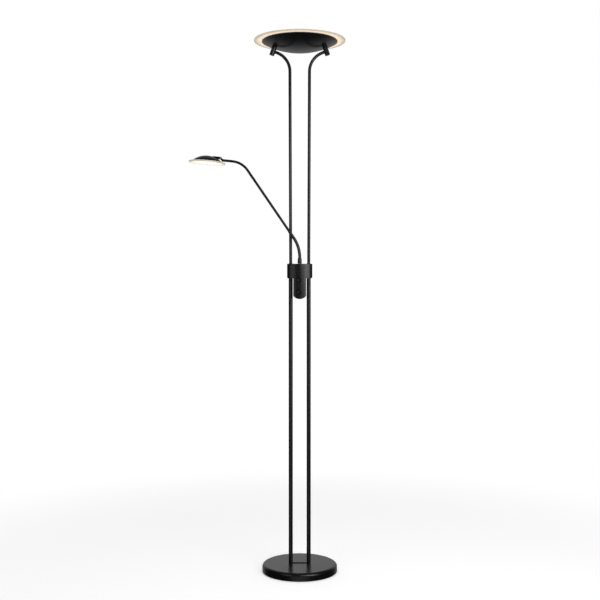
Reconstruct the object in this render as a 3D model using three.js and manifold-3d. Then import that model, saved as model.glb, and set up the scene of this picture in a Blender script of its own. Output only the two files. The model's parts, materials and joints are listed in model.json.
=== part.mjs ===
// Torchiere floor lamp with a reading arm: a round weighted base, two parallel poles, a clamp
// housing with two rotary dimmers, two splayed rods that carry a dished uplighter under a wide
// glass disc, and a swivelling arm with a small tilting reading head.
//
// Millimetres, +Z up. The origin is the centre of the base's underside. The poles stand in the
// XZ plane, the dimmer knobs face -Y, and the arm points along -X at rest.

import * as THREE from 'three';
import { mergeVertices } from 'three/addons/utils/BufferGeometryUtils.js';
import Module from 'manifold-3d';

const wasm = await Module();
wasm.setup();

// ---------------------------------------------------------------- driving dimensions

const GAP = 0.3;                 // clearance between pieces that touch
const WIDE = 32;                 // facets round the large discs
const ROUND = 16;                // facets round poles and medium turned parts
const FINE = 12;                 // facets round tubes, pins and screws

const BASE_R = 127;
const BASE_H = 27;
const BASE_EDGE = 10;            // radius of the cover's top edge
const BASE_WALL = 1.5;
const PAD_H = 2;
const RECESS_R = 48;             // hollow under the weight, for the nuts and the wiring
const RECESS_TOP = 16;

const POLE_X = 30.5;
const POLE_R = 7;
const POLE_TOP = 1016;
const CUP_R = 6.8;                // rod sockets, and the arm socket's bores
const NIPPLE_R = 4;
const NIPPLE_BORE = 2.9;

const ROD_R = 5.2;
const ROD_BORE = 4.3;
const ROD_FOOT = 1020;           // floor of the socket that each rod stands in
const ROD_CORNER_X = 33.3;       // where the splayed rod would meet its own top leg
const ROD_BEND = 68;

const BAND_X = 42.8;             // half width of the clamp band
const BAND_BOTTOM = 995;
const BAND_TOP = 1044;
const FRONT_Y = -30;             // foremost point of the clamp's convex face
const REAR_Y = 13;
const FACE_R = 75;               // plan radius of the convex face
const CORNER_R = 12;
const SHELL_WALL = 1.8;
const TONGUE_X = 21.8;
const TONGUE_BOTTOM = 925;
const TONGUE_TIP_R = 28;
const TONGUE_CORNER_R = 3;

const KNOB_X = -2;
const KNOB_Z = { upper: 990, lower: 949 };
const KNOB_R = 8.8;
const KNOB_H = 8;
const SPINDLE_R = 3;

const ARM_Y = -20;               // plane of the arm, in front of the poles
const ARM_FOOT = BAND_TOP + 0.7;
const ARM_LOWER_R = 5.1;
const ARM_UPPER_R = 4.3;
const ARM_SLOPE = THREE.MathUtils.degToRad(55.7);
const ARM_TIP_SLOPE = THREE.MathUtils.degToRad(5.7);
const SWIVEL_R = 4.1;

const HINGE = new THREE.Vector3(-267, ARM_Y, 1400.2);
const EYE_R = 4;
const TANG_HALF = 1.8;
const EAR_OUT = 5.6;

const HEAD_CENTRE = new THREE.Vector3(-312.4, ARM_Y, 1385.15);
const HEAD_TILT = THREE.MathUtils.degToRad(4.3);
const HEAD_GLASS_R = 62;
const DOME_R = 75;               // sphere radius of the reading head's shell
const DOME_RIM_R = 52;
const DOME_RIM_Z = 2.5;
const DOME_WALL = 1.2;

const DISH_R = 272;              // sphere radius of the uplighter dish
const DISH_RIM_R = 128;
const DISH_APEX = 1763.7;
const DISH_TOP = 1797.4;
const DISH_WALL = 1.2;
const STANDOFF_AT = 86;          // distance from the lamp's axis where a standoff meets the dish
const STANDOFF_R = 8.6;
const STANDOFF_H = 28;
const ROD_ENTRY = 14.5;          // distance below the dish at which a rod enters its standoff
const UPLIGHT_GLASS_R = 155;
const GLASS_BOTTOM = 1798.5;
const GLASS_H = 3;

// ---------------------------------------------------------------- materials

const finish = (color, roughness, metalness) =>
  new THREE.MeshStandardMaterial({ color, roughness, metalness });

const blackPaint = () => finish(0x16161a, 0.42, 0.25);
const blackPlastic = () => finish(0x121214, 0.5, 0);
const castIron = () => finish(0x4a4a4c, 0.8, 0.6);
const felt = () => finish(0x1c1c1e, 0.95, 0);
const rubber = () => finish(0x202022, 0.85, 0);
const steel = () => finish(0xb4b6b8, 0.35, 0.95);
const brass = () => finish(0xc2a052, 0.35, 0.95);
const aluminium = () => finish(0xc8cacc, 0.4, 0.9);
const warmGlass = () => finish(0xf4dcc0, 0.25, 0);
const whiteBoard = () => finish(0xf2efe6, 0.6, 0);
const greenBoard = () => finish(0x2c6b45, 0.6, 0);
const whitePlastic = () => finish(0xe8e8e4, 0.5, 0);

// ---------------------------------------------------------------- geometry helpers

const V2 = (x, y) => new THREE.Vector2(x, y);
const V3 = (x, y, z) => new THREE.Vector3(x, y, z);

/** Points of a circular arc, both ends included; angles in degrees. */
function arc(cx, cy, r, from, to, steps) {
  return Array.from({ length: steps + 1 }, (_, i) => {
    const a = THREE.MathUtils.degToRad(from + ((to - from) * i) / steps);
    return V2(cx + r * Math.cos(a), cy + r * Math.sin(a));
  });
}

/** Solid of revolution about Z from a profile of (radius, height) points, anticlockwise. */
function turned(profile, segments = FINE) {
  const onAxis = profile[0].x === 0 && profile.at(-1).x === 0;
  const points = onAxis ? profile : [...profile, profile[0].clone()];
  return new THREE.LatheGeometry(points, segments).rotateX(Math.PI / 2);
}

/** Solid cylinder about Z between two heights. */
function disc(r, z0, z1, segments = FINE) {
  return turned([V2(0, z0), V2(r, z0), V2(r, z1), V2(0, z1)], segments);
}

/** Ring about Z between two radii and two heights. */
function ring(inner, outer, z0, z1, segments = FINE) {
  return turned([V2(inner, z0), V2(outer, z0), V2(outer, z1), V2(inner, z1)], segments);
}

/** Box from its lowest and highest corners. */
function block(x0, y0, z0, x1, y1, z1) {
  const box = new THREE.BoxGeometry(x1 - x0, y1 - y0, z1 - z0);
  return box.translate((x0 + x1) / 2, (y0 + y1) / 2, (z0 + z1) / 2);
}

/** Plan outline in XY, extruded up Z between two heights. */
function prism(outline, z0, z1) {
  const depth = z1 - z0;
  const solidShape = new THREE.ExtrudeGeometry(new THREE.Shape(outline), { depth, bevelEnabled: false });
  return solidShape.translate(0, 0, z0);
}

/** Front outline in XZ, extruded along Y between two depths. */
function frontPrism(outline, y0, y1) {
  return prism(outline, 0, y1 - y0).rotateX(Math.PI / 2).translate(0, y1, 0);
}

/** Cylinder along Y, at (x, z), between two depths. */
function pinY(r, x, z, y0, y1, segments = FINE) {
  return disc(r, 0, y1 - y0, segments).rotateX(-Math.PI / 2).translate(x, y0, z);
}

/** Hexagonal nut about Z with a round hole. */
function hexNut(acrossFlats, hole, z0, z1) {
  const corner = acrossFlats / Math.sqrt(3);
  const outer = disc(corner, z0, z1, 6);
  return cut(outer, disc(hole, z0 - 1, z1 + 1));
}

// A closed three.js geometry as a manifold-3d solid, and back.
function toSolid(geometry) {
  const bare = geometry.clone();
  bare.deleteAttribute('normal');
  bare.deleteAttribute('uv');
  const merged = mergeVertices(bare, 1e-4);
  const index = merged.index.array;
  const triVerts = [];
  for (let i = 0; i < index.length; i += 3) {
    const [a, b, c] = [index[i], index[i + 1], index[i + 2]];
    if (a !== b && b !== c && c !== a) triVerts.push(a, b, c);
  }
  return new wasm.Manifold(new wasm.Mesh({
    numProp: 3,
    vertProperties: new Float32Array(merged.attributes.position.array),
    triVerts: new Uint32Array(triVerts),
  }));
}

function fromSolid(manifold) {
  const mesh = manifold.getMesh();
  const geometry = new THREE.BufferGeometry();
  geometry.setAttribute('position', new THREE.BufferAttribute(new Float32Array(mesh.vertProperties), 3));
  geometry.setIndex(new THREE.BufferAttribute(new Uint32Array(mesh.triVerts), 1));
  geometry.computeVertexNormals();
  return geometry;
}

function cut(geometry, ...cutters) {
  return fromSolid(cutters.reduce((body, c) => body.subtract(toSolid(c)), toSolid(geometry)));
}

function join(geometry, ...others) {
  return fromSolid(others.reduce((body, o) => body.add(toSolid(o)), toSolid(geometry)));
}

function common(geometry, other) {
  return fromSolid(toSolid(geometry).intersect(toSolid(other)));
}

/**
 * A bent tube's centreline: straight legs between corners, with a round bend of the given radius
 * at each inner corner. It is sampled only at its stations, so straight legs cost one step.
 */
class BentPath extends THREE.Curve {
  constructor(corners, radii, degreesPerStep = 10) {
    super();
    this.stations = [];
    this.add(corners[0], corners[1].clone().sub(corners[0]).normalize());
    for (let i = 1; i < corners.length - 1; i += 1) {
      this.addBend(corners[i - 1], corners[i], corners[i + 1], radii[i - 1], degreesPerStep);
    }
    const [beforeLast, last] = corners.slice(-2);
    this.add(last, last.clone().sub(beforeLast).normalize());
  }

  add(point, tangent) {
    this.stations.push({ point: point.clone(), tangent: tangent.clone() });
  }

  addBend(before, corner, after, radius, degreesPerStep) {
    const into = corner.clone().sub(before).normalize();
    const out = after.clone().sub(corner).normalize();
    const turn = into.angleTo(out);
    const inward = out.clone().sub(into.clone().multiplyScalar(into.dot(out))).normalize();
    const start = corner.clone().addScaledVector(into, -radius * Math.tan(turn / 2));
    const steps = Math.ceil(THREE.MathUtils.radToDeg(turn) / degreesPerStep);
    for (let k = 0; k <= steps; k += 1) {
      const a = (turn * k) / steps;
      const point = start.clone()
        .addScaledVector(into, radius * Math.sin(a))
        .addScaledVector(inward, radius * (1 - Math.cos(a)));
      const tangent = into.clone().multiplyScalar(Math.cos(a)).addScaledVector(inward, Math.sin(a));
      this.add(point, tangent);
    }
  }

  stationAt(t) {
    return this.stations[Math.round(t * (this.stations.length - 1))];
  }

  getPoint(t) {
    return this.stationAt(t).point.clone();
  }

  getPointAt(t) {
    return this.getPoint(t);
  }

  getTangentAt(t) {
    return this.stationAt(t).tangent.clone();
  }
}

/** Round bar, or tube where bore is given, swept along a bent path. */
function swept(path, r, bore = 0, segments = FINE) {
  const section = new THREE.Shape();
  section.absarc(0, 0, r, 0, 2 * Math.PI, false);
  if (bore > 0) section.holes.push(new THREE.Path().absarc(0, 0, bore, 0, 2 * Math.PI, true));
  return new THREE.ExtrudeGeometry(section, {
    steps: path.stations.length - 1,
    extrudePath: path,
    curveSegments: segments / 2,
    bevelEnabled: false,
  });
}

// ---------------------------------------------------------------- assembly

const lamp = new THREE.Group();

function place(name, geometry, material, parent = lamp) {
  const mesh = new THREE.Mesh(geometry, material);
  mesh.name = name;
  parent.add(mesh);
  return mesh;
}

const SIDES = [['left', -1], ['right', 1]];

// ---------------------------------------------------------------- base

function makeBase() {
  const glandZ = 9;
  const glandBore = 2.6;
  const lipZ = 1;
  const innerR = BASE_R - BASE_WALL;
  const innerTop = BASE_H - BASE_WALL;
  const edgeR = BASE_R - BASE_EDGE;
  const edgeZ = BASE_H - BASE_EDGE;
  const cover = turned([
    V2(0, innerTop),
    ...arc(edgeR, edgeZ, BASE_EDGE - BASE_WALL, 90, 0, 3),
    V2(innerR, lipZ), V2(BASE_R - 1, lipZ), V2(BASE_R, lipZ + 1),
    ...arc(edgeR, edgeZ, BASE_EDGE, 0, 90, 4),
    V2(0, BASE_H),
  ], WIDE);
  const nippleHole = (z0, z1) => SIDES.map(([, s]) =>
    disc(NIPPLE_R + GAP, z0, z1).translate(s * POLE_X, 0, 0));
  const glandHole = pinY(4.6, 0, glandZ, 110, BASE_R + 2);
  place('base_cover', cut(cover, ...nippleHole(innerTop - 1, BASE_H + 1), glandHole), blackPaint());

  const weightBottom = PAD_H + GAP;
  const weightTop = innerTop - GAP;
  const weightR = 116.5;
  const weight = turned([
    V2(0, RECESS_TOP), V2(RECESS_R, RECESS_TOP), V2(RECESS_R, weightBottom),
    V2(weightR, weightBottom), V2(weightR, weightTop), V2(0, weightTop),
  ], WIDE);
  const wireway = block(-7, 30, 0, 7, 125, 14.5);
  place('base_weight', cut(weight, wireway, ...nippleHole(10, BASE_H)), castIron());

  place('base_felt_pad', disc(122, 0, PAD_H, WIDE), felt());

  const gland = turned([
    V2(glandBore, 0), V2(4.3, 0), V2(4.3, 7.3), V2(6.5, 7.3), V2(6.2, 9.3), V2(3.4, 9.3), V2(glandBore, 8.6),
  ]);
  place('cable_gland', gland.rotateX(-Math.PI / 2).translate(0, BASE_R + GAP - 7.3, glandZ), rubber());

  const bridge = block(-POLE_X, -1.6, BASE_H + GAP, POLE_X, 1.6, BASE_H + GAP + 2.2);
  const poleSpace = SIDES.map(([, s]) =>
    disc(POLE_R + GAP, BASE_H, BASE_H + 10, ROUND).translate(s * POLE_X, 0, 0));
  place('foot_bridge', cut(bridge, ...poleSpace), blackPaint());
}

// ---------------------------------------------------------------- poles

/** Pole with its threaded foot plug welded in, the hollow nipple through it and its nut. */
function makePole(side, s) {
  const bottom = BASE_H + GAP;
  const wall = 1;
  const plugTop = bottom + 20;
  const profile = [
    V2(NIPPLE_R + GAP, bottom), V2(POLE_R, bottom), V2(POLE_R, POLE_TOP), V2(POLE_R - wall, POLE_TOP),
    V2(POLE_R - wall, plugTop), V2(NIPPLE_R + GAP, plugTop),
  ];
  place(`lower_pole_${side}`, turned(profile, ROUND), blackPaint()).position.x = s * POLE_X;

  const nipple = ring(NIPPLE_BORE, NIPPLE_R, RECESS_TOP - 6.5, plugTop + 3);
  place(`pole_nipple_${side}`, nipple, brass()).position.x = s * POLE_X;

  const flangeTop = RECESS_TOP - GAP;
  const flange = ring(NIPPLE_R + GAP, 9, flangeTop - 1.2, flangeTop);
  const nut = join(flange, hexNut(13, NIPPLE_R + GAP, flangeTop - 5.2, flangeTop - 1));
  place(`pole_nut_${side}`, nut, steel()).position.x = s * POLE_X;
}

/** Socket that caps a pole inside the clamp and holds the thinner rod above it. */
function makeRodSocket(side, s) {
  const wireBore = 2.6;
  const spigotR = POLE_R - 1 - GAP;
  const shoulder = POLE_TOP + GAP;
  const cupTop = BAND_TOP + 2;
  const profile = [
    V2(wireBore, shoulder - 14), V2(spigotR, shoulder - 14), V2(spigotR, shoulder), V2(CUP_R, shoulder),
    V2(CUP_R, cupTop - 0.8), V2(CUP_R - 0.8, cupTop), V2(ROD_R + GAP, cupTop), V2(ROD_R + GAP, ROD_FOOT),
    V2(wireBore, ROD_FOOT),
  ];
  place(`rod_socket_${side}`, turned(profile, ROUND), blackPaint()).position.x = s * POLE_X;
}

// ---------------------------------------------------------------- clamp housing

/**
 * Closed plan outline of a housing: flat sides at +-halfWidth, a convex front of radius
 * FACE_R - inset, a flat back at rearY, and rounded front and rear corners.
 */
function housingPlan(halfWidth, rearY, inset, frontCorner, rearCorner, steps) {
  const w = halfWidth - inset;
  const face = FACE_R - inset;
  const faceY = FRONT_Y + FACE_R;
  const fr = frontCorner - inset;
  const rr = rearCorner - inset;
  const cornerY = faceY - Math.sqrt((face - fr) ** 2 - (w - fr) ** 2);
  const joinAngle = THREE.MathUtils.radToDeg(Math.atan2(cornerY - faceY, w - fr));
  const back = rearY - inset;
  return [
    ...arc(w - fr, cornerY, fr, joinAngle, 0, steps),
    ...arc(w - rr, back - rr, rr, 0, 90, 3),
    ...arc(-w + rr, back - rr, rr, 90, 180, 3),
    ...arc(-w + fr, cornerY, fr, 180, 180 - joinAngle, steps),
    ...arc(0, faceY, face, -180 - joinAngle, joinAngle, 8).slice(1, -1),
  ];
}

/** Front outline of the band, with its two lower corners chamfered. */
function bandFront(inset) {
  const w = BAND_X - inset;
  const chamfer = 3;
  const low = BAND_BOTTOM + inset;
  const high = BAND_TOP - inset;
  return [V2(-w + chamfer, low), V2(w - chamfer, low), V2(w, low + chamfer), V2(w, high), V2(-w, high),
    V2(-w, low + chamfer)];
}

/** Front outline of the tongue, with its round lower end. */
function tongueFront(inset) {
  const w = TONGUE_X - inset;
  const r = TONGUE_TIP_R - inset;
  const half = THREE.MathUtils.radToDeg(Math.asin(w / r));
  const top = BAND_BOTTOM + 10;
  return [...arc(0, TONGUE_BOTTOM + TONGUE_TIP_R, r, -90 - half, -90 + half, 8), V2(w, top), V2(-w, top)];
}

/** Closed outer (inset 0) or inner (inset = wall) form of the whole T-shaped housing. */
function housingForm(inset) {
  const band = common(
    prism(housingPlan(BAND_X, REAR_Y, inset, CORNER_R, 10, 3), BAND_BOTTOM - 5, BAND_TOP + 5),
    frontPrism(bandFront(inset), -60, 60),
  );
  const tongue = common(
    prism(housingPlan(TONGUE_X, REAR_Y - 2, inset, TONGUE_CORNER_R, 3, 2), TONGUE_BOTTOM - 5, BAND_BOTTOM + 20),
    frontPrism(tongueFront(inset), -60, 60),
  );
  return join(band, tongue);
}

function makeClamp() {
  const clampScrews = [['upper_left', -14, 1001], ['upper_right', 14, 1001], ['lower', 0, 931]];
  const front = block(-60, -60, 900, 60, -GAP / 2, 1100);
  const rear = block(-60, GAP / 2, 900, 60, 60, 1100);
  const outer = housingForm(0);
  const inner = housingForm(SHELL_WALL);
  const walls = cut(outer, inner);
  const poleHoles = SIDES.flatMap(([, s]) => [
    disc(POLE_R + GAP, BAND_BOTTOM - 5, BAND_BOTTOM + 8, ROUND).translate(s * POLE_X, 0, 0),
    disc(CUP_R + GAP, BAND_TOP - 8, BAND_TOP + 5, ROUND).translate(s * POLE_X, 0, 0),
  ]);

  const screwBoss = ([, x, z]) => common(pinY(3, x, z, -40, -3), outer);
  const bossed = join(common(walls, front), ...clampScrews.map(screwBoss));
  const socketHole = disc(CUP_R, BAND_TOP - 8, BAND_TOP + 5).translate(0, ARM_Y, 0);
  const spindleHoles = Object.values(KNOB_Z).map((z) => pinY(SPINDLE_R + GAP, KNOB_X, z, -40, -24));
  const pilotHoles = clampScrews.map(([, x, z]) => pinY(1.4 + GAP, x, z, -18, 0));
  const frontShell = cut(bossed, ...poleHoles, socketHole, ...spindleHoles, ...pilotHoles);
  place('clamp_front_shell', frontShell, blackPaint());

  const screwHoles = clampScrews.map(([, x, z]) => pinY(1.4 + GAP, x, z, 0, 20));
  place('clamp_rear_shell', cut(common(walls, rear), ...poleHoles, ...screwHoles), blackPaint());

  for (const [where, x, z] of clampScrews) {
    const headY = (z > BAND_BOTTOM ? REAR_Y : REAR_Y - 2) + GAP;
    const screw = join(pinY(1.4, x, z, -14, headY + 0.5), pinY(2.8, x, z, headY, headY + 1.8));
    place(`clamp_screw_${where}`, screw, steel());
  }

  const saddleBody = block(-POLE_X, -9, 1007, POLE_X, 8, 1034);
  const saddleLug = block(-10, -27, 1010, 10, -8, 1034);
  const grooves = SIDES.map(([, s]) => disc(POLE_R + GAP, 1000, 1040, ROUND).translate(s * POLE_X, 0, 0));
  const socketBore = disc(CUP_R, 1000, 1040).translate(0, ARM_Y, 0);
  place('clamp_saddle', cut(join(saddleBody, saddleLug), ...grooves, socketBore), castIron());
}

// ---------------------------------------------------------------- dimmers

function makeDimmer(which, z) {
  const wallOut = FRONT_Y + 0.1;
  const knobBack = wallOut - 0.4;
  const bore = SPINDLE_R + GAP;
  // Along the profile the height is the distance forward of the housing's face.
  const boreDepth = 5.6;
  const knob = turned([
    V2(0, boreDepth), V2(bore, boreDepth), V2(bore, 0), V2(KNOB_R, 0), V2(KNOB_R, 2.4), V2(KNOB_R - 0.9, 3),
    V2(KNOB_R - 1.3, KNOB_H - 1.2), V2(KNOB_R - 2.4, KNOB_H - 0.2), V2(4.2, KNOB_H),
    V2(3.8, KNOB_H - 0.5), V2(0, KNOB_H - 0.5),
  ], ROUND);
  knob.rotateX(Math.PI / 2).translate(KNOB_X, knobBack, z);
  place(`dimmer_knob_${which}`, knob, blackPlastic());

  place(`dimmer_spindle_${which}`, pinY(SPINDLE_R, KNOB_X, z, knobBack - 5.3, -19.8), brass());

  const can = pinY(8, KNOB_X, z, -26.8, -17.5, ROUND);
  place(`potentiometer_${which}`, cut(can, pinY(bore, KNOB_X, z, -30, -19.5)), steel());
}

function makeDimmerBoard() {
  const back = -15.6;
  const board = block(-10.5, -17.2, 938, 10.5, back, 1000);
  const parts = [
    block(-8, back - 0.5, 960, -1, -6, 972),
    block(2, back - 0.5, 958, 9, -9, 976),
    block(-8, back - 0.5, 982, 8, -10, 990),
    pinY(4, 4, 948, back - 0.5, -5),
  ];
  place('dimmer_board', join(board, ...parts), greenBoard());
}

// ---------------------------------------------------------------- reading arm

/** Corners of the arm's centreline, from the swivel to the knuckle, in the arm's own plane. */
function armCorners() {
  const foot = V3(0, ARM_Y, ARM_FOOT);
  const lowerCorner = V3(0, ARM_Y, 1101.6);
  const tipDirection = V3(-Math.cos(ARM_TIP_SLOPE), 0, Math.sin(ARM_TIP_SLOPE));
  const tip = V3(-256.5, ARM_Y, 1392.3);
  // The straight leg rises at ARM_SLOPE from the lower corner until it meets the tip's line.
  const run = V3(-Math.cos(ARM_SLOPE), 0, Math.sin(ARM_SLOPE));
  const across = tip.clone().sub(lowerCorner);
  const cross = (a, b) => a.x * b.z - a.z * b.x;
  const length = cross(across, tipDirection) / cross(run, tipDirection);
  const upperCorner = lowerCorner.clone().addScaledVector(run, length);
  return { foot, lowerCorner, run, upperCorner, tipDirection, tip };
}

function makeArm() {
  const { foot, lowerCorner, run, upperCorner, tipDirection, tip } = armCorners();
  const lowerBend = 116;
  const upperBend = 70;
  const stepAt = lowerCorner.clone().addScaledVector(run, 64);
  const sleeveFrom = stepAt.clone().addScaledVector(run, -20);
  const lowerPath = new BentPath([foot, lowerCorner, stepAt], [lowerBend]);
  const upperPath = new BentPath([sleeveFrom, upperCorner, tip], [upperBend]);

  place('arm_lower_tube', swept(lowerPath, ARM_LOWER_R, ARM_UPPER_R + GAP), blackPaint());
  place('arm_upper_tube', swept(upperPath, ARM_UPPER_R, 3.3), blackPaint());

  const collar = turned([
    V2(ARM_LOWER_R + GAP, 0), V2(6.8, 0), V2(7.2, 2), V2(7.2, 5), V2(6.8, 12), V2(6.3, 17.5), V2(5.8, 18.6),
    V2(ARM_LOWER_R + GAP, 18.6),
  ], ROUND);
  place('arm_collar', collar, blackPaint()).position.set(0, ARM_Y, ARM_FOOT);

  const spindle = ring(2.6, SWIVEL_R, 1002.5, ARM_FOOT + 12);
  place('arm_spindle', spindle, steel()).position.y = ARM_Y;
  const socket = ring(SWIVEL_R + GAP, 6.5, 1010, ARM_FOOT - 0.7, ROUND);
  place('arm_socket', socket, brass()).position.y = ARM_Y;
  const nut = hexNut(12, SWIVEL_R + GAP, 1004.5, 1009.2);
  place('swivel_nut', nut, steel()).position.y = ARM_Y;

  const leadEnd = tip.clone().addScaledVector(tipDirection, -16);
  const leadFoot = V3(0, ARM_Y, 1001);
  const leadPath = new BentPath([leadFoot, lowerCorner, upperCorner, leadEnd], [lowerBend, upperBend]);
  place('arm_lead', swept(leadPath, 1.6, 0, 8), rubber());
}

/** Turned plug in the arm's end, with a flat tang that rises to the hinge eye. */
function makeKnuckle() {
  const { tipDirection, tip } = armCorners();
  const spigotR = 3;
  const collarR = 4.8;
  const turnedPart = turned([
    V2(0, -12), V2(spigotR, -12), V2(spigotR, GAP), V2(collarR, GAP), V2(collarR, 4.6),
    V2(3.6, 6.2), V2(0, 6.2),
  ]);
  const alongTip = new THREE.Quaternion().setFromUnitVectors(V3(0, 0, 1), tipDirection);
  turnedPart.applyQuaternion(alongTip).translate(tip.x, tip.y, tip.z);

  const eye = pinY(EYE_R, HINGE.x, HINGE.z, ARM_Y - TANG_HALF, ARM_Y + TANG_HALF, ROUND);
  const root = tip.clone().addScaledVector(tipDirection, 3.4);
  const along = root.clone().sub(HINGE).setY(0).normalize();
  const sideways = V3(-along.z, 0, along.x);
  const corner = (from, k) => V2(from.x + k * sideways.x, from.z + k * sideways.z);
  const neckOutline = [corner(HINGE, -3.4), corner(root, -3.4), corner(root, 3.4), corner(HINGE, 3.4)];
  const neck = frontPrism(neckOutline.reverse(), ARM_Y - TANG_HALF, ARM_Y + TANG_HALF);
  const pinHole = pinY(1.5 + GAP, HINGE.x, HINGE.z, ARM_Y - 10, ARM_Y + 10);
  place('knuckle_plug', cut(join(turnedPart, eye, neck), pinHole), blackPaint());
}

// ---------------------------------------------------------------- reading head

function makeReadingHead() {
  const head = new THREE.Group();
  head.position.copy(HEAD_CENTRE);
  head.rotation.y = HEAD_TILT;
  lamp.add(head);
  const put = (name, geometry, material) => place(name, geometry, material, head);

  const sphereZ = DOME_RIM_Z - Math.sqrt(DOME_R ** 2 - DOME_RIM_R ** 2);
  const domeArc = (r, from, to, steps) => arc(0, sphereZ, r, from, to, steps);
  const rimAngle = (r, z) => THREE.MathUtils.radToDeg(Math.asin((z - sphereZ) / r));
  const innerR = DOME_R - DOME_WALL;
  const shell = turned([
    V2(0, sphereZ + innerR),
    ...domeArc(innerR, 90, rimAngle(innerR, DOME_RIM_Z), 6).slice(1),
    ...domeArc(DOME_R, rimAngle(DOME_R, DOME_RIM_Z), 90, 6).slice(0, -1),
    V2(0, sphereZ + DOME_R),
  ], WIDE);
  const screwX = 24;
  const screwY = 4.2;
  const screws = [['front', -screwY], ['rear', screwY]];
  const screwHoles = screws.map(([, y]) => disc(1.2 + GAP, 10, 21.8).translate(screwX, y, 0));
  put('reading_shell', cut(shell, ...screwHoles), blackPaint());

  // Hinge axis in the head's own frame.
  const hinge = HINGE.clone().sub(HEAD_CENTRE).applyAxisAngle(V3(0, 1, 0), -HEAD_TILT);
  const strapTop = hinge.z + EYE_R;
  const strapEnd = hinge.x - EYE_R - 0.9;
  const strapRoot = 35;
  const saddleFrom = 18;
  const saddleTo = 29;
  const ear = (y0, y1) => join(
    pinY(EYE_R, hinge.x, hinge.z, y0, y1, ROUND),
    block(strapEnd - 3, y0, hinge.z - EYE_R, hinge.x, y1, strapTop),
  );
  const strapOutline = [
    V2(saddleFrom, 10), V2(strapRoot - 1, 10), V2(strapRoot, strapTop - 7.5),
    V2(strapEnd, strapTop - 6), V2(strapEnd, strapTop), V2(saddleFrom, strapTop),
  ];
  const strap = join(
    frontPrism(strapOutline, -EAR_OUT, EAR_OUT),
    block(saddleFrom, -EAR_OUT - 1.5, 10, saddleTo, EAR_OUT + 1.5, strapTop),
    ear(-EAR_OUT, -TANG_HALF - GAP),
    ear(TANG_HALF + GAP, EAR_OUT),
  );
  const clearR = DOME_R + GAP;
  const domeSpace = turned([
    V2(0, 0), ...domeArc(clearR, rimAngle(clearR, 0), 90, 16).slice(0, -1), V2(0, sphereZ + clearR),
  ], 64);
  const hingeHole = pinY(1.5 + GAP, hinge.x, hinge.z, -10, 10);
  put('reading_bracket', cut(strap, domeSpace, hingeHole, ...screwHoles), blackPaint());

  for (const [where, y] of screws) {
    const screw = join(disc(2.2, 15.4, 17, 12), disc(1.2, 16, 21.5, 12));
    put(`bracket_screw_${where}`, screw.translate(screwX, y, 0), steel());
  }

  put('reading_heat_plate', ring(2.4, 38, 6.1, 8.1, ROUND), aluminium());
  const chips = Array.from({ length: 8 }, (_, i) => {
    const chip = block(-1.8, 24, 3.5, 1.8, 27.6, 4.6);
    return chip.rotateZ((i * Math.PI) / 4);
  });
  put('reading_led_board', join(ring(2.4, 38, 4.2, 5.8, ROUND), ...chips), whiteBoard());
  put('reading_gasket', ring(44.5, 48.5, 2.3, 3.6, WIDE), rubber());

  const edge = 0.8;
  put('reading_glass', turned([
    V2(2.3, -2), V2(HEAD_GLASS_R - edge, -2), V2(HEAD_GLASS_R, -2 + edge), V2(HEAD_GLASS_R, 2 - edge),
    V2(HEAD_GLASS_R - edge, 2), V2(2.3, 2),
  ], WIDE), warmGlass());
  put('reading_stud', turned([
    V2(0, -4.2), V2(2, -4.2), V2(2, 8.4), V2(4, 8.4), V2(4, 21.9), V2(0, 21.9),
  ], 12), steel());
  put('reading_glass_nut', turned([
    V2(0, -5.6), V2(4.4, -5.6), V2(5, -5), V2(5, -2.3), V2(2.3, -2.3), V2(2.3, -4.5), V2(0, -4.5),
  ]), whitePlastic());
}

/** Screw and nut through the bracket's two ears and the arm's tang. */
function makeKnucklePin() {
  const front = ARM_Y - EAR_OUT - GAP;
  const rear = ARM_Y + EAR_OUT + GAP;
  const shank = pinY(1.5, HINGE.x, HINGE.z, front - 0.5, rear + 2.4);
  const head = pinY(3, HINGE.x, HINGE.z, front - 1.6, front);
  place('knuckle_screw', join(shank, head), steel());
  const nut = hexNut(5.5, 1.5 + GAP, 0, 2.2).rotateX(-Math.PI / 2);
  place('knuckle_nut', nut.translate(HINGE.x, rear, HINGE.z), steel());
}

// ---------------------------------------------------------------- uplighter

const DISH_CENTRE = DISH_APEX + DISH_R;       // height of the dish's sphere centre
const STANDOFF_TILT = Math.asin(STANDOFF_AT / DISH_R);

/** Height of the dish's surface of the given sphere radius, at a distance from the axis. */
const dishZ = (sphereR, r) => DISH_CENTRE - Math.sqrt(sphereR ** 2 - r ** 2);

function makeRod(side, s) {
  // The rod's last leg is square to the standoff, whose axis passes through the sphere's centre.
  const reach = DISH_R + ROD_ENTRY;
  const entry = V3(reach * Math.sin(STANDOFF_TILT), 0, DISH_CENTRE - reach * Math.cos(STANDOFF_TILT));
  const heading = V3(Math.cos(STANDOFF_TILT), 0, Math.sin(STANDOFF_TILT));
  const tip = entry.clone().addScaledVector(heading, -4.3);
  const corner = tip.clone().addScaledVector(heading, (ROD_CORNER_X - tip.x) / heading.x);
  const foot = V3(POLE_X, 0, ROD_FOOT + GAP);
  const mirror = (p) => p.clone().setX(s * p.x);
  const path = new BentPath([foot, corner, tip].map(mirror), [ROD_BEND]);
  place(`upper_rod_${side}`, swept(path, ROD_R, ROD_BORE), blackPaint());
}

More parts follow.
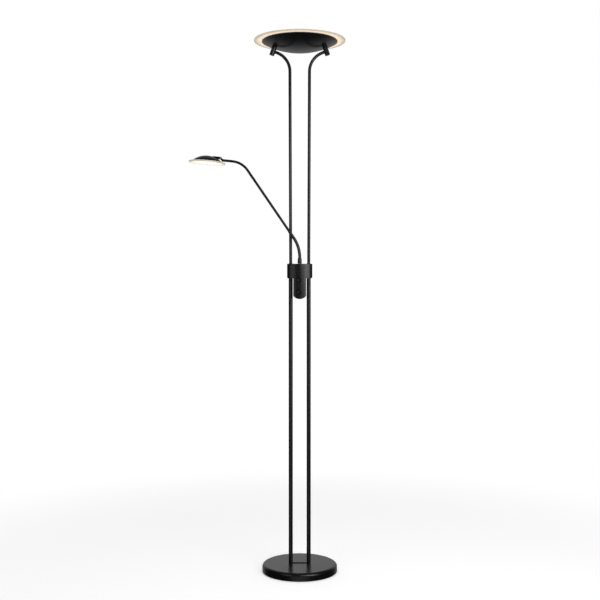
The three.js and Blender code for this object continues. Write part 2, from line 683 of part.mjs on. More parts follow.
/** Standoff under the dish: hollow stud up through the dish, rod socket in its inner side. */
function makeStandoff(side, s) {
  const tilted = new THREE.Group();
  tilted.position.z = DISH_CENTRE;
  tilted.rotation.y = -s * STANDOFF_TILT;
  lamp.add(tilted);

  const top = -DISH_R - GAP;
  const studR = 3.9;
  const studTop = -DISH_R + 6;
  const body = turned([
    V2(0, top - STANDOFF_H), V2(STANDOFF_R - 0.8, top - STANDOFF_H), V2(STANDOFF_R, top - STANDOFF_H + 0.8),
    V2(STANDOFF_R, top), V2(studR, top), V2(studR, studTop), V2(0, studTop),
  ], ROUND);
  const wireway = disc(2.6, top - ROD_ENTRY, studTop + 1);
  const rodHole = disc(ROD_R + GAP, 4, STANDOFF_R + 1, ROUND).rotateY((-s * Math.PI) / 2);
  const wireExit = disc(2.6, 0, 5).rotateY((-s * Math.PI) / 2);
  const atRod = -DISH_R - ROD_ENTRY;
  place(
    `standoff_${side}`,
    cut(body, wireway, rodHole.translate(0, 0, atRod), wireExit.translate(0, 0, atRod)),
    blackPaint(),
    tilted,
  );
  const nutBottom = -DISH_R + DISH_WALL + GAP + 0.1;
  place(`standoff_nut_${side}`, hexNut(12, studR + GAP, nutBottom, nutBottom + 3.5), steel(), tilted);
}

function makeUplighter() {
  const innerSphere = DISH_R - DISH_WALL;
  const innerRim = DISH_RIM_R - 1.7;
  const ledgeR = 119;
  const surface = (sphereR, rimR, steps) => Array.from({ length: steps + 1 }, (_, i) => {
    const r = (rimR * i) / steps;
    return V2(r, dishZ(sphereR, r));
  });
  const dish = turned([
    ...surface(DISH_R, DISH_RIM_R, 6),
    V2(DISH_RIM_R, DISH_TOP), V2(ledgeR, DISH_TOP), V2(ledgeR, DISH_TOP - DISH_WALL),
    ...surface(innerSphere, innerRim, 6).reverse(),
  ], WIDE);
  const studHoles = SIDES.map(([, s]) =>
    disc(4.2, -DISH_R - 4, -DISH_R + 4).rotateY(-s * STANDOFF_TILT).translate(0, 0, DISH_CENTRE));
  place('uplight_dish', cut(dish, ...studHoles), blackPaint());

  const plateZ = 1786;
  const plateTop = plateZ + 1.5;
  const studTop = 1803.5;
  place('uplight_heat_plate', turned([
    V2(0, plateZ), V2(98, plateZ), V2(98, plateTop), V2(6, plateTop), V2(6, plateTop + 3),
    V2(2.9, plateTop + 3), V2(2.9, studTop), V2(0, studTop),
  ], WIDE), aluminium());
  const chips = Array.from({ length: 12 }, (_, i) => {
    const chip = block(-2.2, 78, plateTop + 1.5, 2.2, 82.4, plateTop + 2.7);
    return chip.rotateZ((i * Math.PI) / 6);
  });
  place('uplight_led_board', join(ring(7, 94, plateTop + GAP, plateTop + 1.8, WIDE), ...chips), whiteBoard());

  const driverHousing = block(-42, -18, 1770, 42, 18, plateZ - GAP);
  place('uplight_driver', driverHousing, whitePlastic());

  place('uplight_gasket', ring(120.5, 127, DISH_TOP + GAP, GLASS_BOTTOM - GAP, WIDE), rubber());
  const edge = 0.8;
  const glassTop = GLASS_BOTTOM + GLASS_H;
  place('uplight_glass', turned([
    V2(3.2, GLASS_BOTTOM), V2(UPLIGHT_GLASS_R - edge, GLASS_BOTTOM), V2(UPLIGHT_GLASS_R, GLASS_BOTTOM + edge),
    V2(UPLIGHT_GLASS_R, glassTop - edge), V2(UPLIGHT_GLASS_R - edge, glassTop), V2(3.2, glassTop),
  ], WIDE), warmGlass());
  place('uplight_cap_nut', turned([
    V2(3.2, glassTop + GAP), V2(9, glassTop + GAP), V2(9, glassTop + 1.8), V2(8, glassTop + 2.9),
    V2(5, glassTop + 3.4), V2(0, glassTop + 3.6), V2(0, studTop + GAP), V2(3.2, studTop + GAP),
  ]), aluminium());
}

// ---------------------------------------------------------------- wiring inside the pole

function makeSupplyLead() {
  const lead = disc(2.2, 7, 1012, 8);
  place('supply_lead', lead, rubber()).position.x = -POLE_X;
}

makeBase();
for (const [side, s] of SIDES) {
  makePole(side, s);
  makeRodSocket(side, s);
  makeRod(side, s);
  makeStandoff(side, s);
}
makeSupplyLead();
makeClamp();
for (const [which, z] of Object.entries(KNOB_Z)) makeDimmer(which, z);
makeDimmerBoard();
makeArm();
makeKnuckle();
makeReadingHead();
makeKnucklePin();
makeUplighter();

export default lamp;
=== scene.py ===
"""Looks of the torchiere floor lamp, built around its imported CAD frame.

Lengths are written in millimetres, as in the part, and become metres when a mesh is made.
The knobs face -Y and the reading arm points along -X.
"""

import json
import math

import bmesh
import bpy
from mathutils import Matrix, Vector


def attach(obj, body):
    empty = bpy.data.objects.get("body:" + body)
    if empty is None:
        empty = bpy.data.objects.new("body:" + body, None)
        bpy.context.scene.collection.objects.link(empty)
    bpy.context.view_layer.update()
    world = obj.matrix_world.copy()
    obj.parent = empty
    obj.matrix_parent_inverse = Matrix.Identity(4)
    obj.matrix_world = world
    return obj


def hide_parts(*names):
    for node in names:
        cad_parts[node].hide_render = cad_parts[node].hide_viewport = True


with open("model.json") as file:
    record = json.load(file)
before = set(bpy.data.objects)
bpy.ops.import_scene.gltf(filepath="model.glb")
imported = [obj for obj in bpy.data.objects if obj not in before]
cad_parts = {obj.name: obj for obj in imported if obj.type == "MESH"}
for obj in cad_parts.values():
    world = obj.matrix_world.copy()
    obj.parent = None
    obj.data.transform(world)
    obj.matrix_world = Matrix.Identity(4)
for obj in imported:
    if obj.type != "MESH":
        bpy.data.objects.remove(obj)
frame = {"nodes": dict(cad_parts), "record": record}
nodes = frame["nodes"]
scene = bpy.context.scene
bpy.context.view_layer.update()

MM = 0.001
GAP = 0.3
SIDES = (("left", -1), ("right", 1))

# Driving dimensions shared with the part.
BASE_R, BASE_H, BASE_EDGE, BASE_WALL = 127, 27, 10, 1.5
POLE_X, POLE_R, POLE_TOP = 30.5, 7, 1016
ROD_R, ROD_BORE, ROD_FOOT, ROD_CORNER_X, ROD_BEND = 5.2, 4.3, 1020, 33.3, 68
BAND_X, BAND_BOTTOM, BAND_TOP = 42.8, 995, 1044
FRONT_Y, REAR_Y, FACE_R, CORNER_R, REAR_CORNER_R = -30, 13, 75, 12, 10
SHELL_WALL = 1.8
TONGUE_X, TONGUE_BOTTOM, TONGUE_TIP_R, TONGUE_REAR_Y = 21.8, 925, 28, 11
KNOB_X, KNOB_R, KNOB_H, SPINDLE_R = -2, 8.8, 8, 3
KNOB_Z = {"upper": 990, "lower": 949}
ARM_Y, ARM_FOOT, ARM_LOWER_R, ARM_UPPER_R = -20, BAND_TOP + 0.7, 5.1, 4.3
ARM_SLOPE, ARM_TIP_SLOPE = math.radians(55.7), math.radians(5.7)
ARM_CORNER_Z, ARM_TIP = 1101.6, Vector((-256.5, ARM_Y, 1392.3))
HINGE = Vector((-267, ARM_Y, 1400.2))
EYE_R, PIN_HOLE_R, TANG_HALF, EAR_OUT = 4, 1.8, 1.8, 5.6
HEAD_CENTRE, HEAD_TILT = Vector((-312.4, ARM_Y, 1385.15)), math.radians(4.3)
HEAD_GLASS_R, DOME_R, DOME_RIM_R, DOME_RIM_Z, DOME_WALL = 62, 75, 52, 2.5, 1.2
DISH_R, DISH_RIM_R, DISH_APEX, DISH_TOP, DISH_WALL, LEDGE_R = 272, 128, 1763.7, 1797.4, 1.2, 119
STANDOFF_AT, STANDOFF_R, STANDOFF_H, ROD_ENTRY = 86, 8.6, 28, 14.5
UPLIGHT_GLASS_R, GLASS_BOTTOM, GLASS_H = 155, 1798.5, 3
LED_BOARD_FACE = 1789.5
NIPPLE_HOLE_R, WIRE_R = 4.3, 2.6
DISH_CENTRE = DISH_APEX + DISH_R
STANDOFF_TILT = math.asin(STANDOFF_AT / DISH_R)


# ---------------------------------------------------------------- camera

def make_camera():
    """Almost level view from the front, with a small vertical shift."""
    data = bpy.data.cameras.new("camera")
    camera = bpy.data.objects.new("camera", data)
    scene.collection.objects.link(camera)
    data.sensor_width = 36
    data.lens = 58.88
    data.shift_y = -0.0193
    data.clip_end = 100
    camera.location = (0.001, -3.3317, 0.9861)
    camera.rotation_euler = (math.radians(89.564), 0, 0)
    scene.camera = camera


make_camera()


# ---------------------------------------------------------------- outlines

def arc(cx, cy, r, start, end, step=4):
    """Points of a circular arc, both ends included; angles in degrees."""
    count = max(1, math.ceil(abs(end - start) / step))
    angles = [math.radians(start + (end - start) * i / count) for i in range(count + 1)]
    return [(cx + r * math.cos(a), cy + r * math.sin(a)) for a in angles]


def rounded(corners, closed=False, step=10):
    """Polyline through (x, y) or (x, y, fillet radius) corners, with the corners rounded."""
    out = []
    last = len(corners) - 1
    for i, corner in enumerate(corners):
        p = Vector(corner[:2])
        r = corner[2] if len(corner) > 2 else 0
        if r == 0 or (not closed and i in (0, last)):
            out.append(tuple(p))
            continue
        u = (Vector(corners[i - 1][:2]) - p).normalized()
        v = (Vector(corners[(i + 1) % len(corners)][:2]) - p).normalized()
        half = u.angle(v) / 2
        centre = p + (u + v).normalized() * (r / math.sin(half))
        first = p + u * (r / math.tan(half)) - centre
        turn = (math.pi - 2 * half) * (1 if u.cross(v) < 0 else -1)
        count = max(2, math.ceil(math.degrees(abs(turn)) / step))
        for k in range(count + 1):
            out.append(tuple(centre + Matrix.Rotation(turn * k / count, 2) @ first))
    return out


# ---------------------------------------------------------------- solids as (vertices, faces)

def lathe(profile, segments=64, flutes=None):
    """Solid of revolution about Z. flutes(r, z, angle) gives an extra radius, for grips."""
    verts, rows = [], []
    for r, z in profile:
        if r < 1e-6:
            rows.append([len(verts)])
            verts.append((0, 0, z))
            continue
        rows.append(range(len(verts), len(verts) + segments))
        for k in range(segments):
            a = 2 * math.pi * k / segments
            reach = r + (flutes(r, z, a) if flutes else 0)
            verts.append((reach * math.cos(a), reach * math.sin(a), z))
    pairs = list(zip(rows, rows[1:]))
    if len(rows[0]) > 1 or len(rows[-1]) > 1:
        pairs.append((rows[-1], rows[0]))
    faces = []
    for low, high in pairs:
        for k in range(segments):
            n = (k + 1) % segments
            if len(low) == 1 and len(high) > 1:
                faces.append((low[0], high[n], high[k]))
            elif len(high) == 1 and len(low) > 1:
                faces.append((low[k], low[n], high[0]))
            elif len(low) > 1:
                faces.append((low[k], low[n], high[n], high[k]))
    return verts, faces


def disc(r, z0, z1, segments=48):
    return lathe([(0, z0), (r, z0), (r, z1), (0, z1)], segments)


def prism(outline, z0, z1):
    """Closed XY outline extruded along Z."""
    n = len(outline)
    verts = [(x, y, z) for z in (z0, z1) for x, y in outline]
    sides = [(k, (k + 1) % n, n + (k + 1) % n, n + k) for k in range(n)]
    return verts, [tuple(reversed(range(n))), tuple(range(n, 2 * n)), *sides]


def block(x0, y0, z0, x1, y1, z1):
    return prism([(x0, y0), (x1, y0), (x1, y1), (x0, y1)], z0, z1)


def moved(solid, matrix):
    verts, faces = solid
    return [tuple(matrix @ Vector(v)) for v in verts], faces


def shifted(solid, x=0, y=0, z=0):
    return moved(solid, Matrix.Translation((x, y, z)))


# Z becomes Y, and Z becomes -Y, for parts turned about the front-to-rear axis.
TO_REAR = Matrix.Rotation(-math.pi / 2, 4, "X")
TO_FRONT = Matrix.Rotation(math.pi / 2, 4, "X")


def front_prism(outline, y0, y1):
    """Closed XZ outline extruded along Y."""
    verts, faces = prism([(x, -z) for x, z in outline], y0, y1)
    return [(x, z, -y) for x, y, z in verts], faces


def pin_y(r, x, z, y0, y1, segments=40):
    return shifted(moved(disc(r, 0, y1 - y0, segments), TO_REAR), x, y0, z)


def bent(corners, radii, step=3):
    """(point, tangent) stations of straight legs with round bends, for a tube."""
    points = [Vector(c) for c in corners]
    into = (points[1] - points[0]).normalized()
    stations = [(points[0], into)]
    for before, corner, after, r in zip(points, points[1:], points[2:], radii):
        into = (corner - before).normalized()
        out = (after - corner).normalized()
        turn = into.angle(out)
        inward = (out - into * into.dot(out)).normalized()
        start = corner - into * (r * math.tan(turn / 2))
        count = math.ceil(math.degrees(turn) / step)
        for k in range(count + 1):
            a = turn * k / count
            point = start + into * (r * math.sin(a)) + inward * (r * (1 - math.cos(a)))
            stations.append((point, into * math.cos(a) + inward * math.sin(a)))
        into = out
    stations.append((points[-1], into))
    return stations


def swept(stations, r, bore, segments=32, edge=0.4):
    """Tube along stations in a plane square to Y, with its outer ends rounded."""
    sideways = Vector((0, 1, 0))
    (first, t0), (last, t1) = stations[0], stations[-1]
    outer = [(first, t0, r - edge), (first + t0 * edge, t0, r)]
    outer += [(p, t, r) for p, t in stations[1:-1]]
    outer += [(last - t1 * edge, t1, r), (last, t1, r - edge)]
    inner = [(p, t, bore) for p, t in reversed(stations)]
    rings = outer + inner
    verts, faces = [], []
    for point, tangent, radius in rings:
        up = tangent.cross(sideways)
        for k in range(segments):
            a = 2 * math.pi * k / segments
            verts.append(tuple(point + (sideways * math.cos(a) + up * math.sin(a)) * radius))
    for i in range(len(rings)):
        a, b = i * segments, ((i + 1) % len(rings)) * segments
        faces += [(a + k, a + (k + 1) % segments, b + (k + 1) % segments, b + k)
                  for k in range(segments)]
    return verts, faces


# ---------------------------------------------------------------- Blender meshes

def to_object(name, solid):
    """Mesh object in metres from a solid in millimetres, with its faces turned outward."""
    verts, faces = solid
    mesh = bpy.data.meshes.new(name)
    mesh.from_pydata([tuple(c * MM for c in v) for v in verts], [], faces)
    bm = bmesh.new()
    bm.from_mesh(mesh)
    bmesh.ops.recalc_face_normals(bm, faces=bm.faces)
    bm.to_mesh(mesh)
    bm.free()
    obj = bpy.data.objects.new(name, mesh)
    scene.collection.objects.link(obj)
    return obj


def bake_modifiers(obj):
    """Replaces the object's mesh by what its modifiers make of it."""
    graph = bpy.context.evaluated_depsgraph_get()
    graph.update()
    made = bpy.data.meshes.new_from_object(obj.evaluated_get(graph))
    obj.modifiers.clear()
    obj.data = made
    return obj


def combine(obj, operation, *solids):
    """Boolean of an object with solids, or with other objects, which are used up."""
    for solid in solids:
        other = solid if isinstance(solid, bpy.types.Object) else to_object("tool", solid)
        step = obj.modifiers.new("step", "BOOLEAN")
        step.operation = operation
        step.solver = "EXACT"
        step.object = other
        bake_modifiers(obj)
        bpy.data.objects.remove(other)
    return obj


def cut(obj, *solids):
    return combine(obj, "DIFFERENCE", *solids)


def join(obj, *solids):
    return combine(obj, "UNION", *solids)


def bevel(obj, width, segments=3, angle=32):
    """Rounds the object's sharp edges."""
    round_edges = obj.modifiers.new("round_edges", "BEVEL")
    round_edges.width = width * MM
    round_edges.segments = segments
    round_edges.limit_method = "ANGLE"
    round_edges.angle_limit = math.radians(angle)
    round_edges.use_clamp_overlap = True
    return obj


def piece(source, slot, body, replaced, name=None, matrix=None, sharp=38):
    """Finishes a visible piece: smooth shading, the material of its slot, its body, and hiding the CAD node
    it stands for.
    """
    name = name or "fine_" + replaced
    obj = source if isinstance(source, bpy.types.Object) else to_object(name, source)
    obj.name = name
    obj.data.name = name
    if matrix is not None:
        scaled = matrix.copy()
        scaled.translation = matrix.translation * MM
        obj.matrix_world = scaled
    if obj.modifiers:
        bake_modifiers(obj)
    obj.data.shade_smooth()
    obj.data.set_sharp_from_angle(angle=math.radians(sharp))
    even = obj.modifiers.new("even_normals", "WEIGHTED_NORMAL")
    even.keep_sharp = True
    obj.data.materials.clear()
    obj.data.materials.append(FINISHES[slot])
    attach(obj, body)
    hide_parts(replaced)
    return obj


# ---------------------------------------------------------------- material nodes

class Finish:
    """A node material around one Principled shader, with short calls to add and link nodes."""

    def __init__(self, name, **settings):
        self.material = bpy.data.materials.new(name)
        self.material.use_nodes = True
        self.tree = self.material.node_tree
        self.shader = self.tree.nodes["Principled BSDF"]
        self.place = self.add("ShaderNodeTexCoord").outputs["Object"]
        for socket, value in settings.items():
            self.shader.inputs[socket.replace("_", " ")].default_value = value

    def add(self, kind, inputs=None, **attributes):
        node = self.tree.nodes.new(kind)
        for key, value in attributes.items():
            setattr(node, key, value)
        for key, value in (inputs or {}).items():
            self.feed(node.inputs[key], value)
        return node

    def feed(self, socket, value):
        if isinstance(value, bpy.types.NodeSocket):
            self.tree.links.new(value, socket)
        else:
            socket.default_value = value

    def noise(self, scale, detail=3, roughness=0.5, vector=None):
        inputs = {"Vector": vector or self.place, "Scale": scale, "Detail": detail,
                  "Roughness": roughness}
        return self.add("ShaderNodeTexNoise", inputs).outputs["Fac"]

    def ramp(self, value, low, high, to_low=0.0, to_high=1.0, smooth=False):
        inputs = {"Value": value, "From Min": low, "From Max": high, "To Min": to_low,
                  "To Max": to_high}
        kind = "SMOOTHSTEP" if smooth else "LINEAR"
        return self.add("ShaderNodeMapRange", inputs, interpolation_type=kind).outputs["Result"]

    def math(self, operation, a, b=0.0):
        return self.add("ShaderNodeMath", {0: a, 1: b}, operation=operation).outputs[0]

    def blend(self, factor, first, second):
        node = self.add("ShaderNodeMix", data_type="RGBA")
        self.feed(node.inputs["Factor"], factor)
        self.feed(node.inputs["A"], first)
        self.feed(node.inputs["B"], second)
        return node.outputs["Result"]

    def stretched(self, x, y, z):
        return self.add("ShaderNodeMapping", {"Vector": self.place, "Scale": (x, y, z)}).outputs[0]

    def radius(self):
        """Distance from the piece's own Z axis, in metres."""
        apart = self.add("ShaderNodeSeparateXYZ", {"Vector": self.place}).outputs
        return self.math("SQRT", self.math("ADD", self.math("MULTIPLY", apart[0], apart[0]),
                                           self.math("MULTIPLY", apart[1], apart[1])))

    def height(self):
        return self.add("ShaderNodeSeparateXYZ", {"Vector": self.place}).outputs[2]

    def edges(self, reach):
        """1 along worn edges and 0 on open surfaces; reach in metres."""
        soft = self.add("ShaderNodeBevel", {"Radius": reach}, samples=4).outputs["Normal"]
        true = self.add("ShaderNodeNewGeometry").outputs["Normal"]
        agree = self.add("ShaderNodeVectorMath", {0: soft, 1: true}, operation="DOT_PRODUCT")
        return self.ramp(agree.outputs["Value"], 0.99, 0.86)

    def colour(self, value):
        self.feed(self.shader.inputs["Base Color"], value)

    def rough(self, value):
        self.feed(self.shader.inputs["Roughness"], value)

    def bump(self, height, strength, depth):
        """depth in metres of the full height range."""
        inputs = {"Height": height, "Strength": strength, "Distance": depth}
        previous = self.shader.inputs["Normal"].links
        if previous:
            inputs["Normal"] = previous[0].from_socket
        self.feed(self.shader.inputs["Normal"], self.add("ShaderNodeBump", inputs).outputs[0])


def grey(value, alpha=1.0):
    return (value, value, value, alpha)


def black_paint():
    """Satin black stove enamel: faint orange peel, uneven gloss and thin, duller edges."""
    f = Finish("black_paint", IOR=1.5)
    cloud = f.noise(14, 4)
    worn = f.math("MULTIPLY", f.edges(0.0005), f.ramp(f.noise(900, 4), 0.45, 0.65))
    enamel = f.blend(cloud, (0.0016, 0.0016, 0.0018, 1), (0.0034, 0.0033, 0.0033, 1))
    f.colour(f.blend(f.math("MULTIPLY", worn, 0.4), enamel, (0.022, 0.021, 0.020, 1)))
    patches = f.ramp(cloud, 0.3, 0.7, 0.25, 0.29)
    gloss = f.math("ADD", patches, f.ramp(f.noise(420, 3), 0.3, 0.7, -0.015, 0.02))
    f.rough(f.math("ADD", gloss, f.math("MULTIPLY", worn, 0.1)))
    f.bump(f.noise(640, 2, 0.4), 0.05, 0.00006)
    f.bump(f.noise(3600, 2), 0.04, 0.00002)
    return f


def knob_plastic():
    """Moulded black plastic with fine spark-eroded grain."""
    f = Finish("knob_plastic", IOR=1.47, Specular_IOR_Level=0.25)
    grain = f.noise(2600, 4, 0.6)
    shade = f.blend(f.noise(60, 3), (0.0016, 0.0016, 0.0018, 1), (0.0034, 0.0034, 0.0036, 1))
    f.colour(f.blend(f.math("MULTIPLY", f.edges(0.0004), 0.4), shade, grey(0.03)))
    f.rough(f.ramp(grain, 0.3, 0.7, 0.36, 0.5))
    f.bump(grain, 0.35, 0.00003)
    return f


def black_rubber():
    """Matt rubber with a powdery bloom."""
    f = Finish("black_rubber", IOR=1.45)
    bloom = f.ramp(f.noise(130, 5, 0.65), 0.4, 0.75)
    f.colour(f.blend(bloom, (0.012, 0.012, 0.013, 1), (0.035, 0.035, 0.036, 1)))
    f.rough(f.ramp(bloom, 0, 1, 0.62, 0.85))
    f.bump(f.noise(1900, 4), 0.4, 0.00005)
    return f


def felt():
    """Pressed grey-black felt, with matted fibres."""
    f = Finish("felt", Sheen_Weight=0.35, Sheen_Roughness=0.5, Roughness=0.95)
    fibres = f.noise(1.0, 5, 0.7, f.stretched(900, 2600, 900))
    crossed = f.noise(1.0, 5, 0.7, f.stretched(2600, 900, 900))
    mat = f.math("MAXIMUM", fibres, crossed)
    f.colour(f.blend(f.ramp(mat, 0.45, 0.75), (0.012, 0.012, 0.013, 1), (0.055, 0.054, 0.056, 1)))
    f.bump(mat, 0.8, 0.0003)
    return f


def cast_weight():
    """Bare cast iron: sandy skin and traces of rust."""
    f = Finish("cast_weight", Metallic=0.75)
    sand = f.noise(620, 6, 0.7)
    rust = f.ramp(f.noise(55, 6, 0.7), 0.55, 0.72)
    iron = f.blend(sand, (0.075, 0.075, 0.078, 1), (0.19, 0.185, 0.18, 1))
    f.colour(f.blend(f.math("MULTIPLY", rust, 0.7), iron, (0.16, 0.065, 0.03, 1)))
    f.rough(f.ramp(sand, 0.3, 0.7, 0.55, 0.8))
    f.bump(sand, 0.7, 0.0004)
    return f


def turned_metal(name, dark, light, low, high, ring_scale):
    """Bare metal with the fine rings that a lathe leaves, and faint handling marks."""
    f = Finish(name, Metallic=1.0)
    rings = f.noise(ring_scale, 3, 0.6, f.stretched(0.02, 0.02, 1))
    marks = f.noise(90, 5, 0.65)
    f.colour(f.blend(f.math("MULTIPLY", f.math("ADD", rings, marks), 0.5), dark, light))
    f.rough(f.ramp(rings, 0.3, 0.7, low, high))
    f.bump(rings, 0.25, 0.00002)
    return f


def zinc_steel():
    """Zinc-plated steel: small crystal spangle with a faint cool and warm drift."""
    f = Finish("zinc_steel", Metallic=1.0)
    cells = f.add("ShaderNodeTexVoronoi", {"Vector": f.place, "Scale": 900.0})
    spangle = f.ramp(cells.outputs["Distance"], 0, 0.8)
    drift = f.blend(f.noise(120, 2), (0.55, 0.57, 0.60, 1), (0.62, 0.59, 0.52, 1))
    f.colour(f.blend(f.math("MULTIPLY", spangle, 0.35), drift, grey(0.42)))
    f.rough(f.ramp(spangle, 0, 1, 0.28, 0.42))
    f.bump(spangle, 0.15, 0.00002)
    return f


def aluminium():
    """Spun aluminium, brushed in rings round its axis."""
    f = Finish("aluminium", Metallic=1.0)
    rings = f.noise(1.0, 4, 0.65, f.add("ShaderNodeCombineXYZ", {
        "X": f.math("MULTIPLY", f.radius(), 2600.0), "Z": f.math("MULTIPLY", f.height(), 900.0),
    }).outputs[0])
    f.colour(f.blend(rings, grey(0.52), grey(0.74)))
    f.rough(f.ramp(rings, 0.3, 0.7, 0.26, 0.4))
    f.bump(rings, 0.3, 0.00002)
    return f


def white_plastic():
    """Moulded white plastic, very slightly mottled."""
    f = Finish("white_plastic", IOR=1.47)
    grain = f.noise(1500, 3)
    f.colour(f.blend(f.noise(35, 3), (0.70, 0.70, 0.67, 1), (0.80, 0.80, 0.78, 1)))
    f.rough(f.ramp(grain, 0.3, 0.7, 0.35, 0.5))
    f.bump(grain, 0.2, 0.00002)
    return f


def circuit_board():
    """Green solder mask with copper tracks showing under it as lighter bands."""
    f = Finish("circuit_board", IOR=1.5)
    tracks = f.add("ShaderNodeTexBrick", {
        "Vector": f.stretched(1, 1, 1), "Scale": 160.0, "Mortar Size": 0.06,
        "Color1": grey(0.2), "Color2": grey(0.4), "Mortar": grey(1.0)})
    mask = f.blend(tracks.outputs["Color"], (0.008, 0.055, 0.022, 1), (0.03, 0.17, 0.07, 1))
    f.colour(f.blend(f.math("MULTIPLY", f.noise(400, 3), 0.3), mask, (0.02, 0.10, 0.05, 1)))
    f.rough(f.ramp(f.noise(300, 2), 0.3, 0.7, 0.28, 0.4))
    f.bump(tracks.outputs["Fac"], 0.4, 0.00004)
    return f


def led_board(chip_floor):
    """White-coated board; what stands above chip_floor, in metres, is a yellow LED chip."""
    f = Finish("led_board", IOR=1.5)
    coat = f.blend(f.noise(300, 3), (0.78, 0.78, 0.76, 1), (0.86, 0.86, 0.85, 1))
    chip = f.math("MULTIPLY", f.ramp(f.height(), chip_floor - 0.0001, chip_floor + 0.0001), 0.95)
    f.colour(f.blend(chip, coat, (0.90, 0.66, 0.12, 1)))
    f.rough(f.ramp(f.noise(700, 2), 0.3, 0.7, 0.4, 0.55))
    f.bump(f.noise(1200, 2), 0.2, 0.00002)
    return f


def opal_glass(name, lit_r, rim_r, glow, rim_glow):
    """Acid-etched amber-white glass, lit from behind inside lit_r and dimmer towards its rim.

    lit_r and rim_r are radii in millimetres.
    """
    f = Finish(name, IOR=1.5, Subsurface_Weight=0.25, Subsurface_Scale=0.004)
    f.shader.inputs["Subsurface Radius"].default_value = (1.0, 0.7, 0.45)
    etched = f.noise(3000, 3)
    cloud = f.noise(22, 4)
    r = f.radius()
    inner = f.ramp(r, lit_r * MM, 0.55 * lit_r * MM, smooth=True)
    outer = f.ramp(r, rim_r * MM, lit_r * MM)
    side = f.ramp(r, (rim_r - 0.9) * MM, (rim_r - 0.4) * MM)
    # The base colour is painted shade as well: lighter inside lit_r and darker towards the rim, following the
    # glow. It turns greyer on the very edge.
    body = f.blend(outer, (0.37, 0.31, 0.26, 1), (0.84, 0.70, 0.54, 1))
    f.colour(f.blend(side, f.blend(f.math("MULTIPLY", cloud, 0.2), body, grey(0.8)), (0.5, 0.48, 0.44, 1)))
    hue = f.blend(inner, (1.0, 0.76, 0.50, 1), (1.0, 0.93, 0.76, 1))
    f.feed(f.shader.inputs["Emission Color"], f.blend(side, hue, (0.55, 0.5, 0.42, 1)))
    level = f.math("ADD", f.ramp(outer, 0, 1, rim_glow, 3.2 * rim_glow), f.math("MULTIPLY", inner, glow))
    uneven = f.ramp(cloud, 0.2, 0.8, 0.96, 1.04)
    f.feed(f.shader.inputs["Emission Strength"], f.math("MULTIPLY", level, uneven))
    f.rough(f.ramp(etched, 0.3, 0.7, 0.3, 0.42))
    f.bump(etched, 0.04, 0.00002)
    return f


FINISHES = {
    "black_paint": black_paint(),
    "knob_plastic": knob_plastic(),
    "black_rubber": black_rubber(),
    "felt": felt(),
    "cast_weight": cast_weight(),
    "brass": turned_metal("brass", (0.52, 0.36, 0.13, 1), (0.80, 0.62, 0.28, 1), 0.22, 0.36, 3000),
    "zinc_steel": zinc_steel(),
    "aluminium": aluminium(),
    "white_plastic": white_plastic(),
    "circuit_board": circuit_board(),
    "led_board": led_board(LED_BOARD_FACE * MM),
    "reading_led_board": led_board(0),
    "opal_glass": opal_glass("opal_glass", 135, UPLIGHT_GLASS_R, 0.6, 0.10),
    "reading_opal_glass": opal_glass("reading_opal_glass", 51, HEAD_GLASS_R, 0.5, 0.12),
}
FINISHES = {name: finish.material for name, finish in FINISHES.items()}


# ---------------------------------------------------------------- base

def make_base():
    inner_top = BASE_H - BASE_WALL
    cover = rounded([
        (0, inner_top), (BASE_R - BASE_WALL, inner_top, BASE_EDGE - BASE_WALL),
        (BASE_R - BASE_WALL, 1, 0.3), (BASE_R - 1, 1, 0.3), (BASE_R, 2, 0.4),
        (BASE_R, BASE_H, BASE_EDGE), (0, BASE_H),
    ], step=6)
    holes = [shifted(disc(NIPPLE_HOLE_R, BASE_H - 3, BASE_H + 2), s * POLE_X) for _, s in SIDES]
    gland_hole = pin_y(4.6, 0, 9, 110, BASE_R + 2)
    cover = cut(to_object("cover", lathe(cover, 144)), *holes, gland_hole)
    piece(cover, "black_paint", "stand", "base_cover")

    pad = rounded([(0, 0), (122, 0, 0.6), (122, 2, 0.6), (0, 2)])
    piece(lathe(pad, 144), "felt", "stand", "base_felt_pad")

    gland = rounded([
        (2.6, 0), (4.3, 0, 0.3), (4.3, 7.3), (6.5, 7.3, 0.3), (6.45, 8.0), (6.1, 8.2), (6.1, 8.4), (6.4, 8.6),
        (6.2, 9.3, 0.4), (3.4, 9.3, 0.4), (2.6, 8.6),
    ])
    spot = Matrix.Translation((0, BASE_R + GAP - 7.3, 9)) @ TO_REAR
    piece(lathe(gland, 48), "black_rubber", "stand", "cable_gland", matrix=spot)

    bar = to_object("bar", block(-POLE_X, -1.6, BASE_H + GAP, POLE_X, 1.6, BASE_H + GAP + 2.2))
    bar = bake_modifiers(bevel(bar, 0.5))
    room = [shifted(disc(POLE_R + GAP, BASE_H, BASE_H + 10), s * POLE_X) for _, s in SIDES]
    piece(cut(bar, *room), "black_paint", "stand", "foot_bridge")


# ---------------------------------------------------------------- poles, rods and standoffs

def make_poles():
    bottom = BASE_H + GAP
    pole = rounded([
        (NIPPLE_HOLE_R, bottom), (POLE_R, bottom, 0.4), (POLE_R, POLE_TOP, 0.3), (POLE_R - 1, POLE_TOP),
        (POLE_R - 1, bottom + 20), (NIPPLE_HOLE_R, bottom + 20),
    ])
    top = BAND_TOP + 2
    cup_r, spigot_r = 6.8, 5.7
    shoulder = POLE_TOP + GAP
    socket = rounded([
        (WIRE_R, shoulder - 14), (spigot_r, shoulder - 14, 0.4), (spigot_r, shoulder), (cup_r, shoulder, 0.3),
        (cup_r, top, 0.8), (ROD_R + GAP, top, 0.2), (ROD_R + GAP, ROD_FOOT), (WIRE_R, ROD_FOOT),
    ])
    for side, s in SIDES:
        at = Matrix.Translation((s * POLE_X, 0, 0))
        piece(lathe(pole, 64), "black_paint", "stand", f"lower_pole_{side}", matrix=at)
        piece(lathe(socket, 64), "black_paint", "stand", f"rod_socket_{side}", matrix=at)


